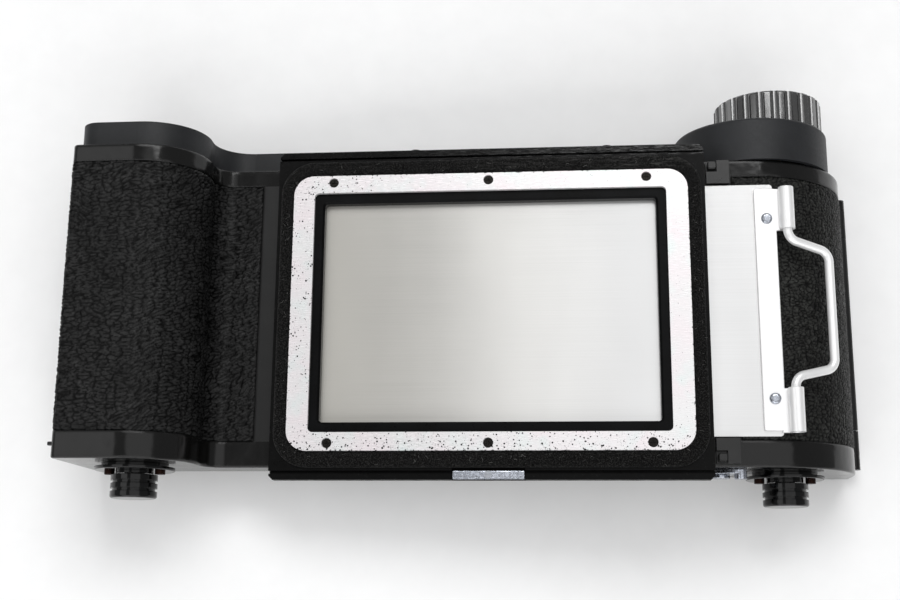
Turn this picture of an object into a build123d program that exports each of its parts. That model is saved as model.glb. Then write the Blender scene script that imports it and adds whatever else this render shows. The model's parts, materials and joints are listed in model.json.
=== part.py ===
from build123d import *
from math import atan2, cos, degrees, radians, sin, sqrt
import os

# Roll film back, 6x9 on 120 film, lying on its back: +Z is the optical axis towards the lens,
# +Y runs to the winding knob, +X to the side that the dark slide comes out of.
# The origin is the centre of the mask's front face, which seats on the camera. Millimetres.

# ---- driving dimensions -------------------------------------------------------------------------
HALF_HEIGHT = 38.4  # body casting, half its height in Y
CAVITY_HALF = 33.3  # film chambers, half their height
LEATHER_TOP = 34.0
LEATHER_BOTTOM = -32.0
LEATHER = 0.8  # leatherette thickness, set flush in a recess

FRONT = -4.9  # front plane of the middle of the body
REAR = -15.6  # rear face of the closed door behind the gate
FILM_PLANE = -10.2
DOOR_WALL = 1.6
DOOR_GAP = 0.25

CHAMBER_R = 15.5  # outer radius of both spool chambers
CAVITY_R = 13.7
BLEND_R = 5.0  # fillet between a chamber and the middle
SUPPLY = (-85.5, 2.5)  # supply spool axis, (X, Z)
TAKEUP = (72.9, -23.0)  # take-up spool axis, (X, Z)
LEFT_WALL = -101.0
RIGHT_WALL = 91.4
BULGE_R = 26.3  # front of the take-up chamber
CORNER_R = 1.5  # front left corner of the supply chamber

WINDOW = (83.0, 55.6)  # clear picture opening
GATE = (83.0, 56.0)
PLATE = (107.2, 79.0)  # mount plate
RAIL_HALF = 41.7
PLATE_TOP = -1.4
SLOT_TOP = -3.4  # roof of the dark slide's slot
SLOT_HALF = 31.6
MASK_OUTER = (98.6, 69.7)
MASK_INNER = (88.0, 60.7)
FELT_OUTER = (105.4, 77.6)

SLIDE_T = 0.9
SLIDE_BOTTOM = -4.55
SLIDE_HALF = 31.3
BAIL_PIVOT = (73.2, -1.8)
BAIL_REACH = 10.8
BAIL_DROP = 20.0  # angle below the horizontal when the bail rests, degrees
BAIL_MIDDLE = -0.3  # the handle sits this far off the middle in Y
WIRE_R = 1.1

COVER_TOP = 45.0
DRUM_TOP = 49.5
DRUM = (68.0, -24.0)
DRUM_R = 19.8
COVER_WALL = 1.2
COVER_REAR = -15.4

KNOB_R = 13.8
KNOB_BOTTOM = 49.7
KNOB_TOP = 58.7
KNOB_FLUTES = 24
SHAFT_R = 2.2  # winding shaft inside the ratchet wheel
SHAFT_TOP_R = 1.6  # winding shaft inside the pinion and the knob
RUN_FIT = 0.05  # radial clearance of turning and sliding fits

GEAR_MODULE = 0.6
PINION_TEETH = 10
COUNTER_TEETH = 30
GEAR_TOP = 43.6
GEAR_BOTTOM = 42.2
MESH_ANGLE = 180.0  # direction from the winding axis to the counter axis, degrees
RATCHET_TEETH = 20
RATCHET_R = 7.0

SPOOL_HALF = 32.65
SPOOL_FLANGE_R = 12.5
SPOOL_CORE_R = 6.0
PIN_R = 2.5  # spool pins of the pull knobs
PIN_TIP = -29.0

HINGE_R = 1.6
HINGE = (RIGHT_WALL + HINGE_R + 0.05, -37.6)  # door hinge axis, (X, Z)
HINGE_PIN_R = 0.6

os.makedirs("parts", exist_ok=True)


def save(name, shape):
    """Label one finished piece and write it as one STEP file."""
    shape.label = name
    export_step(shape, f"parts/{name}.step")


def level(y):
    """Plane across Y at a height y: sketches on it are drawn in (X, Z) and extrude towards -Y."""
    return Plane.XZ.offset(-y)


def polar(centre, radius, angle):
    """Point (X, Z) at a radius and an angle in degrees from a centre."""
    return (
        centre[0] + radius * cos(radians(angle)),
        centre[1] + radius * sin(radians(angle)),
    )


# The front of the supply chamber falls in an S curve to the middle of the body. The door behind
# the take-up chamber is the same curve turned half a turn about the body's centre.
blend_z = FRONT + BLEND_R
blend_dz = blend_z - SUPPLY[1]
blend_dx = sqrt((CHAMBER_R + BLEND_R) ** 2 - blend_dz**2)
BLEND_ANGLE = degrees(atan2(blend_dz, blend_dx))
FRONT_BLEND = (SUPPLY[0] + blend_dx, blend_z)
BODY_CENTRE = ((SUPPLY[0] + TAKEUP[0]) / 2, (SUPPLY[1] + TAKEUP[1]) / 2)
REAR_BLEND = (2 * BODY_CENTRE[0] - FRONT_BLEND[0], 2 * BODY_CENTRE[1] - FRONT_BLEND[1])


def s_curve(turned, inset, x_chamber, x_middle):
    """S curve from a chamber's flat to the middle of the body, set in from the outer surface."""
    chamber, blend, start = (TAKEUP, REAR_BLEND, 180) if turned else (SUPPLY, FRONT_BLEND, 0)
    out_r = CHAMBER_R - inset
    in_r = BLEND_R + inset
    crown = polar(chamber, out_r, start + 90)
    joint = polar(chamber, out_r, start + BLEND_ANGLE)
    valley = polar(blend, in_r, start + 270)
    out_mid = polar(chamber, out_r, start + (90 + BLEND_ANGLE) / 2)
    in_mid = polar(blend, in_r, start + (450 + BLEND_ANGLE) / 2)
    Line((x_chamber, crown[1]), crown)
    ThreePointArc(crown, out_mid, joint)
    ThreePointArc(joint, in_mid, valley)
    Line(valley, (x_middle, valley[1]))
    return (x_chamber, crown[1]), (x_middle, valley[1])


def bulge_curve(inset, x_middle, z_end):
    """Front of the take-up chamber: from the middle plane round to the right wall."""
    centre = (RIGHT_WALL - BULGE_R, FRONT - BULGE_R)
    radius = BULGE_R - inset
    crown = polar(centre, radius, 90)
    side = polar(centre, radius, 0)
    Line((x_middle, crown[1]), crown)
    ThreePointArc(crown, polar(centre, radius, 45), side)
    Line(side, (side[0], z_end))
    return (x_middle, crown[1]), (side[0], z_end)


def corner_and_s(inset, z_start, x_middle):
    """Left wall, rounded front corner and S curve, all set in from the outer surface."""
    r = CORNER_R - inset
    x = LEFT_WALL + inset
    z = SUPPLY[1] + CHAMBER_R - inset
    Line((x, z_start), (x, z - r))
    ThreePointArc((x, z - r), polar((x + r, z - r), r, 135), (x + r, z))
    _, end = s_curve(False, inset, x + r, x_middle)
    return (x, z_start), end


def prism(y_top, y_bottom, x_range, z_range, mode=Mode.ADD):
    """Block between two heights, from X and Z ranges."""
    with BuildSketch(level(y_top)) as profile:
        with Locations((sum(x_range) / 2, sum(z_range) / 2)):
            Rectangle(x_range[1] - x_range[0], z_range[1] - z_range[0])
    extrude(profile.sketch, amount=y_top - y_bottom, mode=mode)


def disc(y_top, y_bottom, centre, radius, mode=Mode.ADD):
    """Cylinder along Y between two heights at (X, Z)."""
    with BuildSketch(level(y_top)) as profile:
        with Locations(centre):
            Circle(radius)
    extrude(profile.sketch, amount=y_top - y_bottom, mode=mode)


def slab(z_bottom, z_top, size, corner=0.0, centre=(0, 0), mode=Mode.ADD):
    """Plate across Z between two heights, with rounded corners when corner is above 0."""
    with BuildSketch(Plane.XY.offset(z_bottom)) as profile:
        with Locations(centre):
            if corner:
                RectangleRounded(size[0], size[1], corner)
            else:
                Rectangle(size[0], size[1])
    extrude(profile.sketch, amount=z_top - z_bottom, mode=mode)


# ---- body casting -------------------------------------------------------------------------------
door_inset = DOOR_WALL + DOOR_GAP
MIDDLE_X = 20.0  # where the front's left and right curves are joined
LEATHER_LEFT_END = -58.5
LEATHER_RIGHT_START = 60.5
LEATHER_SIDE_Z = -2.4  # the left wall is bare metal behind this, for the door latch
LEATHER_RIGHT_Z = -34.4
RIM_R = 0.5  # rounding of the casting's front rims
ROLLER_LEFT = (-68.3, -8.7)
ROLLER_RIGHT = (52.0, -11.7)
ROLLER_PIN_R = 0.6
LATCH_Y = (-3.0, 9.0)  # heights of the latch's screws, and of the notches for its hooks
LATCH_Z = -9.0
LATCH_SCREW_R = 0.8


def leather_skin(curve, start, end, mode=Mode.ADD):
    """Leatherette skin, LEATHER thick, along one of the casting's front curves."""
    with BuildSketch(level(LEATHER_TOP)) as profile:
        with BuildLine() as outline:
            outer = curve(0, start, end)
            inner = curve(LEATHER, start, end)
            for outer_end, inner_end in zip(outer, inner):
                Line(outer_end, inner_end)
        make_face(outline.edges())
    extrude(profile.sketch, amount=LEATHER_TOP - LEATHER_BOTTOM, mode=mode)


def left_skin(mode=Mode.ADD):
    """Skin round the front of the supply chamber."""
    leather_skin(corner_and_s, LEATHER_SIDE_Z, LEATHER_LEFT_END, mode)


def right_skin(mode=Mode.ADD):
    """Skin round the front of the take-up chamber."""
    leather_skin(bulge_curve, LEATHER_RIGHT_START, LEATHER_RIGHT_Z, mode)


with BuildPart() as body_casting:
    with BuildSketch(level(HALF_HEIGHT)):
        with BuildLine():
            corner_and_s(0, REAR + door_inset, MIDDLE_X)
            bulge_curve(0, MIDDLE_X, TAKEUP[1] - CHAMBER_R + door_inset)
            s_curve(True, door_inset, RIGHT_WALL, LEFT_WALL)
        make_face()
    extrude(amount=2 * HALF_HEIGHT)
    rims = body_casting.faces().filter_by(Axis.Y).edges()
    front_rims = rims.filter_by(lambda e: e.center().Z > REAR + 3)
    fillet(front_rims, radius=RIM_R)
    # recesses for the two leatherette skins
    left_skin(Mode.SUBTRACT)
    right_skin(Mode.SUBTRACT)
    # supply chamber, open to the rear
    disc(CAVITY_HALF, -CAVITY_HALF, SUPPLY, CAVITY_R, Mode.SUBTRACT)
    chamber_x = (SUPPLY[0] - CAVITY_R, SUPPLY[0] + CAVITY_R)
    prism(CAVITY_HALF, -CAVITY_HALF, chamber_x, (REAR, SUPPLY[1]), Mode.SUBTRACT)
    # take-up chamber, open to the rear
    disc(CAVITY_HALF, -CAVITY_HALF, TAKEUP, CAVITY_R, Mode.SUBTRACT)
    prism(CAVITY_HALF, -CAVITY_HALF, (57.5, TAKEUP[0] + CAVITY_R), (-40, TAKEUP[1]), Mode.SUBTRACT)
    prism(CAVITY_HALF, -CAVITY_HALF, (49.5, 63.0), (-40, FILM_PLANE), Mode.SUBTRACT)
    # film channel with its outer guide rails and inner film rails
    prism(CAVITY_HALF, -CAVITY_HALF, (-75, 58), (REAR, -10.8), Mode.SUBTRACT)
    prism(31.1, -31.1, (-75, 58), (-11, FILM_PLANE), Mode.SUBTRACT)
    prism(28.4, -28.4, (-75, 58), (-11, -9.8), Mode.SUBTRACT)
    prism(CAVITY_HALF, -CAVITY_HALF, (-73, -65.6), (REAR, -6.9), Mode.SUBTRACT)
    slab(-12, 0, GATE, 0, (0, 0), Mode.SUBTRACT)
    # holes for the winding shaft, the pull knobs' pins, the idle stud and the roller pins
    disc(HALF_HEIGHT, 0, TAKEUP, 3.0 + RUN_FIT, Mode.SUBTRACT)
    for axis in (SUPPLY, TAKEUP):
        disc(0, -HALF_HEIGHT, axis, PIN_R + 0.1, Mode.SUBTRACT)
    for axis in (ROLLER_LEFT, ROLLER_RIGHT):
        disc(36, -36, axis, ROLLER_PIN_R, Mode.SUBTRACT)
    # light trap grooves beside the film channel
    for y in (35.7, -35.7):
        prism(y + 0.7, y - 0.7, (-97.5, 51), (REAR, REAR + door_inset + 1.5), Mode.SUBTRACT)
    # nub on the left wall
    with BuildSketch(Plane.YZ.offset(LEFT_WALL)):
        with Locations((-34.8, 15.0)):
            RectangleRounded(0.9, 2.4, 0.4)
    extrude(amount=-1.3)
    # blind holes for the latch's shoulder screws
    with BuildSketch(Plane.YZ.offset(LEFT_WALL)):
        with Locations(*[(y, LATCH_Z) for y in LATCH_Y]):
            Circle(LATCH_SCREW_R)
    extrude(amount=1.4, mode=Mode.SUBTRACT)
save("body_casting", body_casting.part)

with BuildPart() as leather_left:
    left_skin()
save("leather_left", leather_left.part)

with BuildPart() as leather_right:
    right_skin()
save("leather_right", leather_right.part)

# ---- mount plate, light seal, bezel, mask and screws --------------------------------------------
SCREW_SEAT = 0.95  # depth of the mask screws' counterbores
SCREW_PITCH = (39.2, 66.0)  # spacing of the mask screws, three by two
SLOT_LEFT = -48.0  # inner end of the dark slide's slot
CATCH_HALF = 8.8
CATCH_FLOOR = -3.6
CATCH_INNER = -38.95
CATCH_SCREW = (0, -40.5)

with BuildPart() as mount_plate:
    slab(-4.4, -1.8, (PLATE[0], 2 * RAIL_HALF))
    chamfer(mount_plate.edges().filter_by(Axis.Z), length=1.0)
    slab(FRONT, PLATE_TOP, PLATE)
    for side in (1, -1):
        slab(-3.2, 0, (PLATE[0], 0.7), 0, (0, side * (PLATE[1] / 2 + 0.35)), Mode.SUBTRACT)
    slot_length = PLATE[0] / 2 + 1.4 - SLOT_LEFT
    slot_middle = SLOT_LEFT + slot_length / 2
    slab(FRONT, SLOT_TOP, (slot_length, 2 * SLOT_HALF), 0, (slot_middle, 0), Mode.SUBTRACT)
    slab(FRONT, 0, MASK_INNER, 1.2, (0, 0), Mode.SUBTRACT)
    catch_size = (2 * CATCH_HALF, RAIL_HALF + CATCH_INNER)
    slab(CATCH_FLOOR, 0, catch_size, 0, (0, (CATCH_INNER - RAIL_HALF) / 2), Mode.SUBTRACT)
    with BuildSketch(Plane.XY.offset(CATCH_FLOOR)):
        with Locations(CATCH_SCREW):
            Circle(0.6)
    extrude(amount=-2, mode=Mode.SUBTRACT)
    with BuildSketch(Plane.XY.offset(PLATE_TOP)):
        with GridLocations(*SCREW_PITCH, 3, 2):
            Circle(0.7)
    extrude(amount=-4, mode=Mode.SUBTRACT)
save("mount_plate", mount_plate.part)

with BuildPart() as felt_seal:
    slab(PLATE_TOP, -0.5, FELT_OUTER, 8.5)
    slab(PLATE_TOP, 0, (MASK_OUTER[0] + 0.2, MASK_OUTER[1] + 0.2), 5.1, (0, 0), Mode.SUBTRACT)
save("felt_seal", felt_seal.part)

with BuildPart() as silver_mask:
    slab(PLATE_TOP, 0, MASK_OUTER, 5.0)
    slab(PLATE_TOP, 0, MASK_INNER, 1.2, (0, 0), Mode.SUBTRACT)
    with Locations(Plane.XY):
        with GridLocations(*SCREW_PITCH, 3, 2):
            CounterBoreHole(radius=0.75, counter_bore_radius=1.25, counter_bore_depth=SCREW_SEAT)
save("silver_mask", silver_mask.part)

with BuildPart() as mask_screws:
    with BuildSketch(Plane.XY.offset(-SCREW_SEAT)):
        with GridLocations(*SCREW_PITCH, 3, 2):
            Circle(0.7)
    extrude(amount=-3.2)
    with BuildSketch(Plane.XY.offset(-SCREW_SEAT)):
        with GridLocations(*SCREW_PITCH, 3, 2):
            Circle(1.18)
    extrude(amount=0.5)
    fillet(mask_screws.edges().group_by(Axis.Z)[-1], radius=0.25)
    with BuildSketch(Plane.XY.offset(0.5 - SCREW_SEAT)):
        with GridLocations(*SCREW_PITCH, 3, 2):
            Rectangle(1.3, 0.26)
            Rectangle(0.26, 1.3)
    extrude(amount=-0.4, mode=Mode.SUBTRACT)
save("mask_screws", mask_screws.part)

with BuildPart() as bezel_ring:
    slab(-3.35, -1.0, MASK_INNER, 1.2)
    slab(-3.35, 0, WINDOW, 0.8, (0, 0), Mode.SUBTRACT)
    inner_edges = bezel_ring.faces().sort_by(Axis.Z)[-1].inner_wires()[0].edges()
    chamfer(inner_edges, length=0.5)
save("bezel_ring", bezel_ring.part)

with BuildPart() as catch_plate:
    slab(CATCH_FLOOR, -1.6, (17.2, 2.2), 0, (0, -40.45))
    chamfer(catch_plate.faces().sort_by(Axis.Z)[-1].edges().filter_by(Axis.X), length=0.3)
    with BuildSketch(Plane.XY.offset(-1.6)):
        with Locations(CATCH_SCREW):
            Circle(0.65)
    extrude(amount=-4, mode=Mode.SUBTRACT)
save("catch_plate", catch_plate.part)

with BuildPart() as catch_screw:
    with BuildSketch(Plane.XY.offset(-1.6)):
        with Locations(CATCH_SCREW):
            Circle(0.95)
    extrude(amount=0.45)
    with BuildSketch(Plane.XY.offset(-1.6)):
        with Locations(CATCH_SCREW):
            Circle(0.6)
    extrude(amount=-2.6)
    with BuildSketch(Plane.XY.offset(-1.15)):
        with Locations(CATCH_SCREW):
            Rectangle(1.9, 0.25)
    extrude(amount=-0.25, mode=Mode.SUBTRACT)
save("catch_screw", catch_screw.part)

# ---- brackets beside the dark slide's mouth -----------------------------------------------------
for name, side in (("slide_bracket_top", 1), ("slide_bracket_bottom", -1)):
    with BuildPart() as bracket:
        slab(FRONT, -2.7, (5.6, 6.0), 0, (57.0, side * 34.7))
        slab(-3.9, 0, (2.6, 3.0), 0, (55.5, side * 36.2), Mode.SUBTRACT)
        slab(-3.9, -2.0, (2.2, 1.9), 0.5, (55.6, side * 36.3))
        chamfer(bracket.faces().sort_by(Axis.Z)[-1].edges(), length=0.25)
    save(name, bracket.part)

# ---- dark slide ---------------------------------------------------------------------------------
SLIDE_LEFT = -46.0
SLIDE_RIGHT = 70.2
SLIDE_TOP = SLIDE_BOTTOM + SLIDE_T
STRIP_T = 0.8
STRIP_X = (65.6, 70.7)
RIVET_SPOTS = ((68.45, 22.35), (68.45, -22.35))
RIVET_R = 1.4

with BuildPart() as dark_slide:
    slide_x = (SLIDE_LEFT + SLIDE_RIGHT) / 2
    slab(SLIDE_BOTTOM, SLIDE_TOP, (SLIDE_RIGHT - SLIDE_LEFT, 2 * SLIDE_HALF), 0.8, (slide_x, 0))
    with BuildSketch(Plane.XY.offset(SLIDE_BOTTOM)):
        with Locations(*RIVET_SPOTS):
            Circle(0.8)
    extrude(amount=SLIDE_T, mode=Mode.SUBTRACT)
save("dark_slide", dark_slide.part)

barrel_spans = ((30.2 + BAIL_MIDDLE, 19.6 + BAIL_MIDDLE), (-19.6 + BAIL_MIDDLE, -30.2 + BAIL_MIDDLE))
with BuildPart() as slide_handle:
    strip_size = (STRIP_X[1] - STRIP_X[0], 60.0)
    slab(SLIDE_TOP, SLIDE_TOP + STRIP_T, strip_size, 0.6, (sum(STRIP_X) / 2, 0))
    for top, bottom in barrel_spans:
        tab_left = STRIP_X[1] - 0.8
        middle = (tab_left + BAIL_PIVOT[0]) / 2
        size = (BAIL_PIVOT[0] - tab_left, top - bottom)
        slab(SLIDE_TOP, SLIDE_TOP + STRIP_T, size, 0, (middle, (top + bottom) / 2))
        disc(top, bottom, BAIL_PIVOT, BAIL_PIVOT[1] - SLIDE_TOP)
        disc(top, bottom, BAIL_PIVOT, WIRE_R + RUN_FIT, Mode.SUBTRACT)
    with BuildSketch(Plane.XY.offset(SLIDE_TOP)):
        with Locations(*RIVET_SPOTS):
            Circle(0.8)
    extrude(amount=STRIP_T, mode=Mode.SUBTRACT)
save("slide_handle", slide_handle.part)

with BuildPart() as slide_rivets:
    with BuildSketch(Plane.XY.offset(SLIDE_BOTTOM)):
        with Locations(*RIVET_SPOTS):
            Circle(0.8)
    extrude(amount=SLIDE_T + STRIP_T)
    with BuildSketch(Plane.XY.offset(SLIDE_TOP + STRIP_T)):
        with Locations(*RIVET_SPOTS):
            Circle(RIVET_R)
    extrude(amount=0.75)
    fillet(slide_rivets.edges().group_by(Axis.Z)[-1], radius=0.7)
save("slide_rivets", slide_rivets.part)

drop = radians(BAIL_DROP)
bail_plane = Plane(
    origin=(BAIL_PIVOT[0], BAIL_MIDDLE, BAIL_PIVOT[1]),
    x_dir=(cos(drop), 0, -sin(drop)),
    z_dir=(sin(drop), 0, cos(drop)),
)
with BuildPart() as wire_bail:
    with BuildLine(bail_plane) as bail_path:
        FilletPolyline(
            (0, 29.8),
            (0, 17.1),
            (BAIL_REACH, 14.4),
            (BAIL_REACH, -14.4),
            (0, -17.1),
            (0, -29.8),
            radius=3.0,
        )
    with BuildSketch(Plane(origin=bail_path.line @ 0, z_dir=bail_path.line % 0)):
        Circle(WIRE_R)
    sweep()
save("wire_bail", wire_bail.part)

# ---- top cover with the winding drum ------------------------------------------------------------
CAP_LEFT = -101.0
CAP_FRONT = 15.3
CAP_CORNER = 5.0
CAP_R = 14.3
CAP_VALLEY = -10.5
CAP_BLEND = 9.0
DRUM_REAR = -35.4
COUNTER_VIEW = (54.6, -25.2)  # middle of the counter's window
COUNTER_VIEW_R = 2.9
cap_centre = (SUPPLY[0], CAP_FRONT - CAP_R)
cap_dz = CAP_VALLEY + CAP_BLEND - cap_centre[1]
cap_dx = sqrt((CAP_R + CAP_BLEND) ** 2 - cap_dz**2)
cap_angle = degrees(atan2(cap_dz, cap_dx))
cap_blend = (cap_centre[0] + cap_dx, CAP_VALLEY + CAP_BLEND)
SCREW_SPOTS = ((-90, -4), (-20, -13), (30, -13))


def cap_outline():
    """Outline of the low part of the top cover."""
    corner = (CAP_LEFT + CAP_CORNER, CAP_FRONT - CAP_CORNER)
    crown = polar(cap_centre, CAP_R, 90)
    joint = polar(cap_centre, CAP_R, cap_angle)
    valley = polar(cap_blend, CAP_BLEND, 270)
    with BuildLine() as outline:
        Line((CAP_LEFT, COVER_REAR), (CAP_LEFT, corner[1]))
        ThreePointArc((CAP_LEFT, corner[1]), polar(corner, CAP_CORNER, 135), (corner[0], CAP_FRONT))
        Line((corner[0], CAP_FRONT), crown)
        ThreePointArc(crown, polar(cap_centre, CAP_R, (90 + cap_angle) / 2), joint)
        ThreePointArc(joint, polar(cap_blend, CAP_BLEND, (450 + cap_angle) / 2), valley)
        Line(valley, (DRUM[0], valley[1]))
        Line((DRUM[0], valley[1]), (DRUM[0], COVER_REAR))
        Line((DRUM[0], COVER_REAR), (CAP_LEFT, COVER_REAR))
    make_face(outline.edges())


def drum_outline(inset):
    """Outline of the winding drum, round in front and flat behind."""
    with Locations(DRUM):
        Circle(DRUM_R - inset)
    with Locations((DRUM[0], DRUM_REAR + inset - 20)):
        Rectangle(60, 40, mode=Mode.SUBTRACT)


with BuildPart() as cap_cavity:
    with BuildSketch(level(COVER_TOP - COVER_WALL)):
        cap_outline()
        offset(amount=-COVER_WALL)
    extrude(amount=COVER_TOP - COVER_WALL - HALF_HEIGHT)
    with BuildSketch(level(DRUM_TOP - COVER_WALL)):
        drum_outline(COVER_WALL)
    extrude(amount=DRUM_TOP - COVER_WALL - HALF_HEIGHT)

with BuildPart() as top_cover:
    with BuildSketch(level(COVER_TOP)):
        cap_outline()
    extrude(amount=COVER_TOP - HALF_HEIGHT)
    with BuildSketch(level(DRUM_TOP)):
        drum_outline(0)
    extrude(amount=DRUM_TOP - HALF_HEIGHT)
    fillet(top_cover.faces().group_by(Axis.Y)[-1].edges(), radius=1.0)
    add(cap_cavity.part, mode=Mode.SUBTRACT)
    disc(DRUM_TOP + 1, HALF_HEIGHT, TAKEUP, SHAFT_TOP_R + RUN_FIT, Mode.SUBTRACT)
    disc(DRUM_TOP + 1, DRUM_TOP - COVER_WALL - 1, COUNTER_VIEW, COUNTER_VIEW_R, Mode.SUBTRACT)
    for spot in SCREW_SPOTS:
        disc(COVER_TOP, COVER_TOP - COVER_WALL, spot, 0.75, Mode.SUBTRACT)
save("top_cover", top_cover.part)

with BuildPart() as counter_window:
    disc(DRUM_TOP - 0.2, DRUM_TOP - 1.0, COUNTER_VIEW, COUNTER_VIEW_R)
save("counter_window", counter_window.part)

with BuildPart() as cover_screws:
    for spot in SCREW_SPOTS:
        disc(COVER_TOP + 0.6, COVER_TOP, spot, 1.4)
        disc(COVER_TOP, HALF_HEIGHT, spot, 0.75)
    with BuildSketch(level(COVER_TOP + 0.6)):
        with Locations(*SCREW_SPOTS):
            Rectangle(3.0, 0.35)
    extrude(amount=0.3, mode=Mode.SUBTRACT)
save("cover_screws", cover_screws.part)

# ---- winding knob and shaft ---------------------------------------------------------------------
FLUTE_R = 1.25
with BuildPart() as winding_knob:
    disc(KNOB_TOP, KNOB_BOTTOM, TAKEUP, KNOB_R)
    fillet(winding_knob.edges().group_by(Axis.Y)[-1], radius=0.8)
    with BuildSketch(level(KNOB_TOP)):
        with Locations(TAKEUP):
            with PolarLocations(KNOB_R + 0.45, KNOB_FLUTES):
                Circle(FLUTE_R)
    extrude(amount=KNOB_TOP - KNOB_BOTTOM - 0.6, mode=Mode.SUBTRACT)
    disc(KNOB_TOP, KNOB_TOP - 1.0, TAKEUP, 9.6, Mode.SUBTRACT)
    disc(KNOB_TOP, KNOB_BOTTOM, TAKEUP, SHAFT_TOP_R, Mode.SUBTRACT)
save("winding_knob", winding_knob.part)

with BuildPart() as knob_cap:
    disc(KNOB_TOP - 0.3, KNOB_TOP - 1.0, TAKEUP, 9.5)
    fillet(knob_cap.edges().group_by(Axis.Y)[-1], radius=0.4)
save("knob_cap", knob_cap.part)

with BuildPart() as winding_shaft:
    disc(KNOB_TOP - 1.0, HALF_HEIGHT, TAKEUP, SHAFT_TOP_R)
    disc(GEAR_BOTTOM - 0.1, HALF_HEIGHT, TAKEUP, SHAFT_R)
    disc(HALF_HEIGHT + 0.9, 30.4, TAKEUP, 3.0)
    prism(33.1, 29.4, (TAKEUP[0] - 4.2, TAKEUP[0] + 4.2), (TAKEUP[1] - 0.6, TAKEUP[1] + 0.6))
save("winding_shaft", winding_shaft.part)

with BuildPart() as ratchet_wheel:
    with BuildSketch(level(41.2)):
        with Locations(TAKEUP):
            Circle(RATCHET_R - 0.9)
            for tooth in range(RATCHET_TEETH):
                with Locations(Location((0, 0, 0), (0, 0, 360 / RATCHET_TEETH * tooth))):
                    with Locations((RATCHET_R - 1.0, 0)):
                        Polygon((0, -0.55), (1.0, 0.35), (1.0, 0.55), (0, 0.55), align=None)
            Circle(SHAFT_R, mode=Mode.SUBTRACT)
    extrude(amount=1.6)
save("ratchet_wheel", ratchet_wheel.part)

PAWL_PIVOT = (82.6, -17.6)
with BuildPart() as pawl:
    disc(41.2, 39.6, PAWL_PIVOT, 1.6)
    with BuildSketch(level(41.2)):
        with BuildLine():
            Polyline(
                (PAWL_PIVOT[0] + 1.0, PAWL_PIVOT[1] + 1.25),
                (PAWL_PIVOT[0] - 1.6, PAWL_PIVOT[1] - 0.2),
                (79.85, -20.2),
                (81.2, -20.9),
                (PAWL_PIVOT[0] + 1.2, PAWL_PIVOT[1] - 1.0),
                close=True,
            )
        make_face()
    extrude(amount=1.6)
    disc(41.2, 39.6, PAWL_PIVOT, 0.8 + RUN_FIT, Mode.SUBTRACT)
save("pawl", pawl.part)

with BuildPart() as pawl_stud:
    disc(41.6, HALF_HEIGHT, PAWL_PIVOT, 0.8)
    disc(42.0, 41.4, PAWL_PIVOT, 1.5)
    disc(39.5, HALF_HEIGHT, PAWL_PIVOT, 1.5)
save("pawl_stud", pawl_stud.part)

# ---- counter gears ------------------------------------------------------------------------------
COUNTER = polar(TAKEUP, GEAR_MODULE * (PINION_TEETH + COUNTER_TEETH) / 2, MESH_ANGLE)


def gear_face(centre, teeth, first_angle, bore):
    """Spur gear face with straight-sided teeth and running backlash; a tooth lies at first_angle."""
    pitch_r = GEAR_MODULE * teeth / 2
    root_r = pitch_r - 1.15 * GEAR_MODULE
    tip_r = pitch_r + 0.8 * GEAR_MODULE
    half_pitch_w = 0.19 * GEAR_MODULE * 3.1416
    with Locations(centre):
        Circle(root_r)
        for tooth in range(teeth):
            turn = Location((0, 0, 0), (0, 0, first_angle + 360 / teeth * tooth))
            with Locations(turn):
                Polygon(
                    (root_r - 0.2, -1.5 * half_pitch_w),
                    (tip_r, -0.45 * half_pitch_w),
                    (tip_r, 0.45 * half_pitch_w),
                    (root_r - 0.2, 1.5 * half_pitch_w),
                    align=None,
                )
        Circle(bore, mode=Mode.SUBTRACT)


with BuildPart() as shaft_pinion:
    with BuildSketch(level(GEAR_TOP)):
        gear_face(TAKEUP, PINION_TEETH, MESH_ANGLE, SHAFT_TOP_R)
    extrude(amount=GEAR_TOP - GEAR_BOTTOM)
save("shaft_pinion", shaft_pinion.part)

with BuildPart() as counter_gear:
    with BuildSketch(level(GEAR_TOP)):
        gear_face(COUNTER, COUNTER_TEETH, MESH_ANGLE + 180 + 180 / COUNTER_TEETH, 1.0 + RUN_FIT)
    extrude(amount=GEAR_TOP - GEAR_BOTTOM)
    disc(46.6, GEAR_TOP, COUNTER, 2.4)
    disc(46.6, GEAR_TOP, COUNTER, 1.0 + RUN_FIT, Mode.SUBTRACT)
save("counter_gear", counter_gear.part)

with BuildPart() as counter_dial:
    disc(47.4, 46.6, COUNTER, 8.6)
    disc(47.4, 46.6, COUNTER, 1.0 + RUN_FIT, Mode.SUBTRACT)
    with BuildSketch(level(47.4)):
        with Locations(COUNTER):
            with PolarLocations(8.0, 8):
                Circle(0.3)
    extrude(amount=0.3, mode=Mode.SUBTRACT)
save("counter_dial", counter_dial.part)

with BuildPart() as counter_stud:
    disc(47.8, HALF_HEIGHT, COUNTER, 1.0)
    disc(GEAR_BOTTOM - 0.1, HALF_HEIGHT, COUNTER, 2.2)
save("counter_stud", counter_stud.part)

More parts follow.
